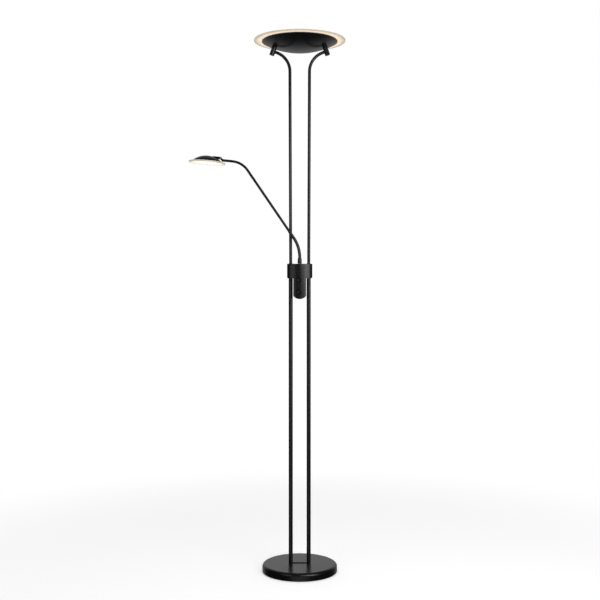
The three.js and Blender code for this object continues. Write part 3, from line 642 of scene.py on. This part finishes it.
def make_rods():
    reach = DISH_R + ROD_ENTRY
    entry = Vector((reach * math.sin(STANDOFF_TILT), 0, DISH_CENTRE - reach * math.cos(STANDOFF_TILT)))
    heading = Vector((math.cos(STANDOFF_TILT), 0, math.sin(STANDOFF_TILT)))
    tip = entry - heading * 4.3
    corner = tip + heading * ((ROD_CORNER_X - tip.x) / heading.x)
    foot = Vector((POLE_X, 0, ROD_FOOT + GAP))
    for side, s in SIDES:
        legs = [(s * p.x, p.y, p.z) for p in (foot, corner, tip)]
        piece(swept(bent(legs, [ROD_BEND]), ROD_R, ROD_BORE, 40), "black_paint", "stand", f"upper_rod_{side}")


def make_standoffs():
    top = -DISH_R - GAP
    stud_r, stud_top = 3.9, -DISH_R + 6
    body = rounded([
        (0, top - STANDOFF_H), (STANDOFF_R, top - STANDOFF_H, 0.9), (STANDOFF_R, top, 0.3), (stud_r, top),
        (stud_r, stud_top, 0.4), (0, stud_top),
    ])
    for side, s in SIDES:
        towards_rod = Matrix.Rotation(-s * math.pi / 2, 4, "Y")
        at_rod = Matrix.Translation((0, 0, -DISH_R - ROD_ENTRY))
        rod_hole = moved(disc(ROD_R + GAP, 4, STANDOFF_R + 1), at_rod @ towards_rod)
        wire_exit = moved(disc(WIRE_R, 0, 5), at_rod @ towards_rod)
        wireway = disc(WIRE_R, top - ROD_ENTRY, stud_top + 1)
        stem = cut(to_object("stem", lathe(body, 64)), rod_hole, wireway, wire_exit)
        frame_of = Matrix.Translation((0, 0, DISH_CENTRE)) @ Matrix.Rotation(-s * STANDOFF_TILT, 4, "Y")
        piece(stem, "black_paint", "stand", f"standoff_{side}", matrix=frame_of)


# ---------------------------------------------------------------- clamp housing

def housing_plan(inset):
    """Plan outline with a convex front of radius FACE_R, a flat back and rounded corners."""
    w, face = BAND_X - inset, FACE_R - inset
    face_y = FRONT_Y + FACE_R
    fr, rr, back = CORNER_R - inset, REAR_CORNER_R - inset, REAR_Y - inset
    corner_y = face_y - math.sqrt((face - fr) ** 2 - (w - fr) ** 2)
    meet = math.degrees(math.atan2(corner_y - face_y, w - fr))
    return [
        *arc(w - fr, corner_y, fr, meet, 0, 6), *arc(w - rr, back - rr, rr, 0, 90, 6),
        *arc(-w + rr, back - rr, rr, 90, 180, 6), *arc(-w + fr, corner_y, fr, 180, 180 - meet, 6),
        *arc(0, face_y, face, -180 - meet, meet, 2)[1:-1],
    ]


def housing_front(inset):
    """T-shaped front outline: the band and the round-ended tongue under it."""
    w, t, r, chamfer = BAND_X - inset, TONGUE_X - inset, TONGUE_TIP_R - inset, 3
    low, high = BAND_BOTTOM + inset, BAND_TOP - inset
    half = math.degrees(math.asin(t / r))
    tip = arc(0, TONGUE_BOTTOM + TONGUE_TIP_R, r, -90 - half, -90 + half, 3)
    crook = 1.5 if inset == 0 else 0.4
    right = rounded([tip[-1], (t, low, crook), (w - chamfer, low, 1), (w, low + chamfer, 1), (w, high)])
    return [*tip[:-1], *right, *[(-x, z) for x, z in reversed(right[1:])]]


def housing_form(inset):
    form = to_object("form", prism(housing_plan(inset), TONGUE_BOTTOM - 9, BAND_TOP + 9))
    form = combine(form, "INTERSECT", front_prism(housing_front(inset), -60, 60))
    tongue_back = TONGUE_REAR_Y - inset
    return cut(form, block(-60, tongue_back, TONGUE_BOTTOM - 20, 60, 60, BAND_BOTTOM + inset))


def screw(head_r, head_h, shank_r, length):
    """Pan-head screw along +Z, its head's underside at 0 and a cross recess in its top."""
    outline = rounded([
        (0, -length), (shank_r * 0.5, -length), (shank_r, -length + shank_r), (shank_r, 0), (head_r, 0, 0.2),
        (head_r, head_h * 0.5, 0.3), (head_r * 0.72, head_h, 0.6), (0, head_h),
    ])
    made = to_object("screw", lathe(outline, 40))
    arm, slot_w, floor = head_r * 0.58, head_r * 0.11, head_h * 0.35
    return cut(made, block(-arm, -slot_w, floor, arm, slot_w, head_h + 1),
               block(-slot_w, -arm, floor, slot_w, arm, head_h + 1))


def make_clamp():
    screws = (("upper_left", -14, 1001), ("upper_right", 14, 1001), ("lower", 0, 931))
    tool = {"front": block(-60, -GAP / 2, 900, 60, 60, 1100), "rear": block(-60, -60, 900, 60, GAP / 2, 1100)}
    pole_holes = [
        shifted(disc(r, z0, z1, 64), s * POLE_X) for _, s in SIDES
        for r, z0, z1 in ((POLE_R + GAP, BAND_BOTTOM - 5, BAND_BOTTOM + 8), (7.1, BAND_TOP - 8, BAND_TOP + 5))
    ]
    for half in ("front", "rear"):
        shell = bake_modifiers(bevel(housing_form(0), 1.1))
        shell = cut(shell, housing_form(SHELL_WALL), tool[half], *pole_holes)
        if half == "front":
            knob_holes = [pin_y(SPINDLE_R + GAP, KNOB_X, z, -40, -24) for z in KNOB_Z.values()]
            cut(shell, shifted(disc(6.8, BAND_TOP - 8, BAND_TOP + 5, 64), 0, ARM_Y), *knob_holes)
        else:
            cut(shell, *[pin_y(1.7, x, z, 5, 20) for _, x, z in screws])
        piece(shell, "black_paint", "stand", f"clamp_{half}_shell", sharp=30)

    for where, x, z in screws:
        back = (REAR_Y if z > BAND_BOTTOM else TONGUE_REAR_Y) + GAP
        at = Matrix.Translation((x, back, z)) @ TO_REAR
        piece(screw(2.8, 1.8, 1.4, back + 14), "zinc_steel", "stand", f"clamp_screw_{where}", matrix=at)


def make_knobs():
    back = FRONT_Y - 0.3
    bore = SPINDLE_R + GAP
    outline = rounded([
        (0, 5.6), (bore, 5.6), (bore, 0), (KNOB_R, 0, 0.2), (KNOB_R, 2.6, 0.5), (KNOB_R - 0.9, 3.0, 0.3),
        (KNOB_R - 1.4, KNOB_H, 1.1), (5.2, KNOB_H, 0.4), (3.6, KNOB_H - 0.5, 3), (2.1, KNOB_H - 0.9, 3),
        (0, KNOB_H - 1.1),
    ])

    def grip(r, z, angle):
        on_side = r > KNOB_R - 1.7 and 3.1 < z < KNOB_H - 0.9
        return -0.16 * (1 + math.cos(28 * angle)) if on_side else 0

    for which, z in KNOB_Z.items():
        knob = to_object("knob", lathe(outline, 168, grip))
        # A moulded pointer groove from the recess to the rim.
        cut(knob, block(-0.45, 4.6, KNOB_H - 0.4, 0.45, 7.0, KNOB_H + 1))
        at = Matrix.Translation((KNOB_X, back, z)) @ TO_FRONT
        piece(knob, "knob_plastic", f"dimmer_{which}", f"dimmer_knob_{which}", matrix=at)


# ---------------------------------------------------------------- reading arm

def arm_legs():
    """The arm's corners and directions, in its own plane."""
    foot = Vector((0, ARM_Y, ARM_FOOT))
    lower = Vector((0, ARM_Y, ARM_CORNER_Z))
    run = Vector((-math.cos(ARM_SLOPE), 0, math.sin(ARM_SLOPE)))
    tip_way = Vector((-math.cos(ARM_TIP_SLOPE), 0, math.sin(ARM_TIP_SLOPE)))
    across = ARM_TIP - lower
    length = (across.x * tip_way.z - across.z * tip_way.x) / (run.x * tip_way.z - run.z * tip_way.x)
    return foot, lower, run, lower + run * length, tip_way


def make_arm():
    foot, lower, run, upper, _ = arm_legs()
    step_at = lower + run * 64
    lower_tube = swept(bent([foot, lower, step_at], [116], 2), ARM_LOWER_R, ARM_UPPER_R + GAP, 40, 0.7)
    piece(lower_tube, "black_paint", "arm", "arm_lower_tube")
    upper_tube = swept(bent([step_at - run * 20, upper, ARM_TIP], [70], 2), ARM_UPPER_R, 3.3, 40, 0.4)
    piece(upper_tube, "black_paint", "arm", "arm_upper_tube")

    bore = ARM_LOWER_R + GAP
    collar = rounded([
        (bore, 0), (6.8, 0, 0.3), (7.2, 2, 0.8), (7.2, 5, 0.8), (6.8, 12, 4),
        (6.3, 17.5, 0.5), (5.8, 18.6, 0.1), (bore, 18.6),
    ])
    at = Matrix.Translation((0, ARM_Y, ARM_FOOT))
    piece(lathe(collar, 56), "black_paint", "arm", "arm_collar", matrix=at)
    socket = rounded([(4.4, 1010), (6.5, 1010, 0.3), (6.5, BAND_TOP, 0.4), (4.4, BAND_TOP)])
    piece(lathe(socket, 56), "brass", "stand", "arm_socket", matrix=Matrix.Translation((0, ARM_Y, 0)))


def make_knuckle():
    tip_way = arm_legs()[-1]
    ferrule = rounded([
        (0, -12), (3, -12, 0.4), (3, GAP), (4.8, GAP, 0.4), (4.8, 4.6, 0.6), (3.6, 6.2, 0.5), (0, 6.2),
    ])
    facing = tip_way.to_track_quat("Z", "Y").to_matrix().to_4x4()
    plug = to_object("plug", moved(lathe(ferrule, 48), Matrix.Translation(ARM_TIP) @ facing))
    root = ARM_TIP + tip_way * 3.4
    along = (root - HINGE).normalized()
    sideways = Vector((-along.z, 0, along.x))
    corners = [HINGE - sideways * 3.4, root - sideways * 3.4, root + sideways * 3.4, HINGE + sideways * 3.4]
    reach = (ARM_Y - TANG_HALF, ARM_Y + TANG_HALF)
    tang = join(to_object("tang", pin_y(EYE_R, HINGE.x, HINGE.z, *reach, 48)),
                front_prism([(c.x, c.z) for c in corners], *reach))
    cut(tang, pin_y(PIN_HOLE_R, HINGE.x, HINGE.z, ARM_Y - 10, ARM_Y + 10))
    tang = bake_modifiers(bevel(tang, 0.3, 2))
    piece(join(plug, tang), "black_paint", "arm", "knuckle_plug")

    front, rear = ARM_Y - EAR_OUT - GAP, ARM_Y + EAR_OUT + GAP
    bolt = rounded([
        (0, -rear + front - 2.4), (1.2, -rear + front - 2.4), (1.5, -rear + front - 2.1), (1.5, 0),
        (3, 0, 0.2), (3, 1.6, 0.5), (0, 1.6),
    ])
    bolt = cut(to_object("bolt", lathe(bolt, 40)), disc(1.45, 0.6, 3, 6))
    spot = Matrix.Translation((HINGE.x, front, HINGE.z)) @ TO_FRONT
    piece(bolt, "zinc_steel", "reading_head", "knuckle_screw", matrix=spot)
    nut = cut(to_object("nut", disc(5.5 / math.sqrt(3), 0, 2.2, 6)), disc(PIN_HOLE_R, -1, 3))
    chamfer = lathe([(0, -1), (2.9, -1), (2.9, 0), (3.25, 0.3), (3.25, 1.9), (2.8, 2.2), (0, 2.2)], 48)
    spot = Matrix.Translation((HINGE.x, rear, HINGE.z)) @ TO_REAR
    nut = combine(nut, "INTERSECT", chamfer)
    piece(nut, "zinc_steel", "reading_head", "knuckle_nut", matrix=spot)


# ---------------------------------------------------------------- reading head

HEAD_FRAME = Matrix.Translation(HEAD_CENTRE) @ Matrix.Rotation(HEAD_TILT, 4, "Y")
DOME_CENTRE_Z = DOME_RIM_Z - math.sqrt(DOME_R ** 2 - DOME_RIM_R ** 2)


def dome_arc(r, low_z, step=3):
    """Profile of a sphere about the dome's centre, from a height up to the axis."""
    low = math.degrees(math.asin((low_z - DOME_CENTRE_Z) / r))
    return arc(0, DOME_CENTRE_Z, r, low, 90, step)[:-1] + [(0, DOME_CENTRE_Z + r)]


def make_reading_head():
    screw_x, screw_y = 24, 4.2
    screws = (("front", -screw_y), ("rear", screw_y))
    screw_holes = [shifted(disc(1.5, 10, 21.8), screw_x, y) for _, y in screws]
    inner = dome_arc(DOME_R - DOME_WALL, DOME_RIM_Z)
    outer = dome_arc(DOME_R, DOME_RIM_Z + 0.25)
    rim = [(DOME_RIM_R - 0.12, DOME_RIM_Z), (inner[0][0] + 0.2, DOME_RIM_Z)]
    shell = to_object("shell", lathe([*reversed(outer), *rim, *inner[1:]], 112))
    piece(cut(shell, *screw_holes), "black_paint", "reading_head", "reading_shell", matrix=HEAD_FRAME)

    hinge = HEAD_FRAME.inverted() @ HINGE
    strap_top, strap_end = hinge.z + EYE_R, hinge.x - EYE_R - 0.9
    saddle_from, saddle_to, strap_root = 18, 29, 35
    bracket = to_object("bracket", front_prism([
        (saddle_from, 10), (strap_root - 1, 10), (strap_root, strap_top - 7.5),
        (strap_end, strap_top - 6), (strap_end, strap_top), (saddle_from, strap_top),
    ], -EAR_OUT, EAR_OUT))
    join(bracket, block(saddle_from, -EAR_OUT - 1.5, 10, saddle_to, EAR_OUT + 1.5, strap_top))
    ear = [
        *arc(hinge.x, hinge.z, EYE_R, -90, 90),
        (strap_end - 3, strap_top), (strap_end - 3, hinge.z - EYE_R),
    ]
    for y0, y1 in ((-EAR_OUT, -TANG_HALF - GAP), (TANG_HALF + GAP, EAR_OUT)):
        join(bracket, front_prism(ear, y0, y1))
    cut(bracket, pin_y(PIN_HOLE_R, hinge.x, hinge.z, -10, 10))
    bracket = bake_modifiers(bevel(bracket, 0.45, 2))
    clear = dome_arc(DOME_R + GAP, 0)
    cut(bracket, lathe([(0, 0), *clear], 112), *screw_holes)
    piece(bracket, "black_paint", "reading_head", "reading_bracket", matrix=HEAD_FRAME)

    for where, y in screws:
        at = HEAD_FRAME @ Matrix.Translation((screw_x, y, 17)) @ Matrix.Rotation(math.pi, 4, "X")
        piece(screw(2.2, 1.6, 1.2, 4.5), "zinc_steel", "reading_head", f"bracket_screw_{where}", matrix=at)

    glass = rounded([
        (2.3, -2, 0.2), (HEAD_GLASS_R, -2, 1.1), (HEAD_GLASS_R, 2, 1.1), (2.3, 2, 0.2),
    ], closed=True)
    plate = piece(lathe(glass, 128), "opal_glass", "reading_head", "reading_glass", matrix=HEAD_FRAME)
    plate.data.materials[0] = FINISHES["reading_opal_glass"]

    gasket = rounded([(44.5, 2.3, 0.3), (48.5, 2.3, 0.3), (48.5, 3.6, 0.3), (44.5, 3.6, 0.3)], closed=True)
    piece(lathe(gasket, 96), "black_rubber", "reading_head", "reading_gasket", matrix=HEAD_FRAME)
    nut = rounded([
        (0, -5.6), (5, -5.6, 0.6), (5, -2.3, 0.2), (2.3, -2.3), (2.3, -4.5), (0, -4.5),
    ])

    def knurl(r, z, angle):
        return -0.1 * (1 + math.cos(20 * angle)) if r > 4.9 and -5.1 < z < -2.4 else 0

    piece(lathe(nut, 120, knurl), "white_plastic", "reading_head", "reading_glass_nut", matrix=HEAD_FRAME)


# ---------------------------------------------------------------- uplighter

def make_uplighter():
    def surface(sphere, low_r, high_r, count=24):
        radii = [low_r + (high_r - low_r) * i / count for i in range(count + 1)]
        return [(r, DISH_CENTRE - math.sqrt(sphere ** 2 - r ** 2)) for r in radii]

    inner_r = DISH_RIM_R - 1.7
    lip = rounded([
        surface(DISH_R, 0, DISH_RIM_R)[-1], (DISH_RIM_R, DISH_TOP, 0.9), (LEDGE_R, DISH_TOP, 0.4),
        (LEDGE_R, DISH_TOP - DISH_WALL, 0.4), surface(DISH_R - DISH_WALL, 0, inner_r)[-1],
    ])
    profile = [
        *surface(DISH_R, 0, DISH_RIM_R)[:-1], *lip, *reversed(surface(DISH_R - DISH_WALL, 0, inner_r)[:-1]),
    ]
    dish = to_object("dish", lathe([(r, z - DISH_CENTRE) for r, z in profile], 160))
    holes = [moved(disc(4.2, -DISH_R - 4, -DISH_R + 4), Matrix.Rotation(-s * STANDOFF_TILT, 4, "Y"))
             for _, s in SIDES]
    at = Matrix.Translation((0, 0, DISH_CENTRE))
    piece(cut(dish, *holes), "black_paint", "stand", "uplight_dish", matrix=at)

    low, high = DISH_TOP + GAP, GLASS_BOTTOM - GAP
    gasket = rounded([(120.5, low, 0.2), (127, low, 0.2), (127, high, 0.2), (120.5, high, 0.2)], closed=True)
    piece(lathe(gasket, 128), "black_rubber", "stand", "uplight_gasket")

    glass = rounded([
        (3.2, 0, 0.2), (UPLIGHT_GLASS_R, 0, 0.9), (UPLIGHT_GLASS_R, GLASS_H, 0.9), (3.2, GLASS_H, 0.2),
    ], closed=True)
    at = Matrix.Translation((0, 0, GLASS_BOTTOM))
    piece(lathe(glass, 192), "opal_glass", "stand", "uplight_glass", matrix=at)

    cap = rounded([
        (3.2, 0.3), (9, 0.3, 0.2), (9, 1.9, 0.3), (8.2, 2.5), (7.4, 3.0), (5, 3.45, 2),
        (0, 3.6), (0, 2.3), (3.2, 2.3),
    ])

    def knurl(r, z, angle):
        return -0.12 * (1 + math.cos(36 * angle)) if r > 8.8 and 0.4 < z < 1.8 else 0

    at = Matrix.Translation((0, 0, GLASS_BOTTOM + GLASS_H))
    piece(lathe(cap, 216, knurl), "aluminium", "stand", "uplight_cap_nut", matrix=at)


# ---------------------------------------------------------------- CAD nodes kept inside

def finish_inner_nodes():
    slot_of = {n: m["slot"] for m in frame["record"]["materials"] for n in m.get("nodes", [])}
    for name, node in nodes.items():
        if node.hide_render:
            continue
        slot = slot_of.get(name, "zinc_steel")
        finish = "reading_led_board" if name == "reading_led_board" else slot
        node.data.materials.clear()
        node.data.materials.append(FINISHES[finish])


# ---------------------------------------------------------------- stage

def make_floor():
    f = Finish("floor", Roughness=0.9, IOR=1.3)
    f.shader.inputs["Base Color"].default_value = grey(0.80)
    f.shader.inputs["Emission Color"].default_value = grey(1.0)
    f.shader.inputs["Emission Strength"].default_value = 0.31
    white = f.add("ShaderNodeEmission", {"Color": grey(1.0), "Strength": 1.0})
    far = f.ramp(f.radius(), 0.55, 1.9, smooth=True)
    fade = f.add("ShaderNodeMixShader", {0: far, 1: f.shader.outputs[0], 2: white.outputs[0]})
    output = next(n for n in f.tree.nodes if n.type == "OUTPUT_MATERIAL")
    f.tree.links.new(fade.outputs[0], output.inputs["Surface"])
    floor = to_object("floor", shifted(disc(40000, -60, -0.2, 128)))
    floor.data.materials.append(f.material)
    floor.visible_glossy = False


def make_world():
    """White behind the lamp, and a dim room with a lighter rear wall and ceiling in reflections."""
    world = bpy.data.worlds.new("studio")
    scene.world = world
    world.use_nodes = True
    tree = world.node_tree
    tree.nodes.clear()

    def add(kind, **attributes):
        node = tree.nodes.new(kind)
        for key, value in attributes.items():
            setattr(node, key, value)
        return node

    def ramp(value, low, high, to_low, to_high):
        node = add("ShaderNodeMapRange", interpolation_type="SMOOTHSTEP")
        tree.links.new(value, node.inputs["Value"])
        for key, number in (("From Min", low), ("From Max", high), ("To Min", to_low), ("To Max", to_high)):
            node.inputs[key].default_value = number
        return node.outputs["Result"]

    def combined(operation, a, b):
        node = add("ShaderNodeMath", operation=operation)
        tree.links.new(a, node.inputs[0])
        if isinstance(b, bpy.types.NodeSocket):
            tree.links.new(b, node.inputs[1])
        else:
            node.inputs[1].default_value = b
        return node.outputs[0]

    way = add("ShaderNodeSeparateXYZ")
    tree.links.new(add("ShaderNodeTexCoord").outputs["Generated"], way.inputs[0])
    up = way.outputs["Z"]
    back = way.outputs["Y"]
    wall = combined("MULTIPLY", ramp(back, 0.5, 0.9, 0, 0.36), ramp(up, -0.85, -0.4, 0.4, 1))
    band = combined("MULTIPLY", ramp(up, 0.14, 0.26, 0, 1), ramp(up, 0.65, 0.42, 0, 1))
    band = combined("MULTIPLY", ramp(back, 0.2, 0.8, 0, 0.27), band)
    low_front = combined("MULTIPLY", ramp(back, -0.8, -0.92, 0, 0.45), ramp(up, -0.02, -0.14, 0, 1))
    ceiling = ramp(up, 0.5, 0.9, 0, 0.12)
    room = combined("ADD", combined("ADD", combined("ADD", wall, band), low_front), ceiling)
    room = combined("ADD", room, 0.02)
    dim = add("ShaderNodeBackground")
    tree.links.new(room, dim.inputs["Strength"])
    white = add("ShaderNodeBackground")
    white.inputs["Strength"].default_value = 1.0
    white.inputs["Color"].default_value = grey(1.0)
    dim.inputs["Color"].default_value = grey(1.0)
    choice = add("ShaderNodeMixShader")
    tree.links.new(add("ShaderNodeLightPath").outputs["Is Camera Ray"], choice.inputs[0])
    tree.links.new(dim.outputs[0], choice.inputs[1])
    tree.links.new(white.outputs[0], choice.inputs[2])
    tree.links.new(choice.outputs[0], add("ShaderNodeOutputWorld").inputs["Surface"])


def softbox(name, centre, aim, width, height, radiance, shown=True):
    """Rectangular soft light at a point in metres, facing aim; radiance is what it looks like."""
    data = bpy.data.lights.new(name, "AREA")
    data.shape = "RECTANGLE"
    data.size, data.size_y = width, height
    data.energy = radiance * math.pi * width * height
    light = bpy.data.objects.new(name, data)
    scene.collection.objects.link(light)
    light.location = centre
    light.rotation_euler = (Vector(aim) - Vector(centre)).to_track_quat("-Z", "Y").to_euler()
    light.visible_camera = False
    light.visible_glossy = shown


def make_lights():
    def round_lamp(degrees, distance, z):
        a = math.radians(degrees)
        return (distance * math.sin(a), -distance * math.cos(a), z)

    softbox("key", round_lamp(41, 3.0, 1.25), (0, 0, 1.05), 1.3, 2.0, 3.0)
    softbox("high_key", round_lamp(22, 2.6, 1.55), (0, 0, 0.05), 1.3, 0.9, 4.0)
    softbox("fill", round_lamp(-38, 3.0, 1.25), (0, 0, 1.05), 1.35, 2.0, 0.9)
    softbox("overhead", (0, 0, 3.6), (0, 0, 0), 3.0, 3.0, 3.2, shown=False)


make_base()
make_poles()
make_rods()
make_standoffs()
make_clamp()
make_knobs()
make_arm()
make_knuckle()
make_reading_head()
make_uplighter()
finish_inner_nodes()
make_floor()
make_world()
make_lights()
scene.view_settings.view_transform = "Standard"
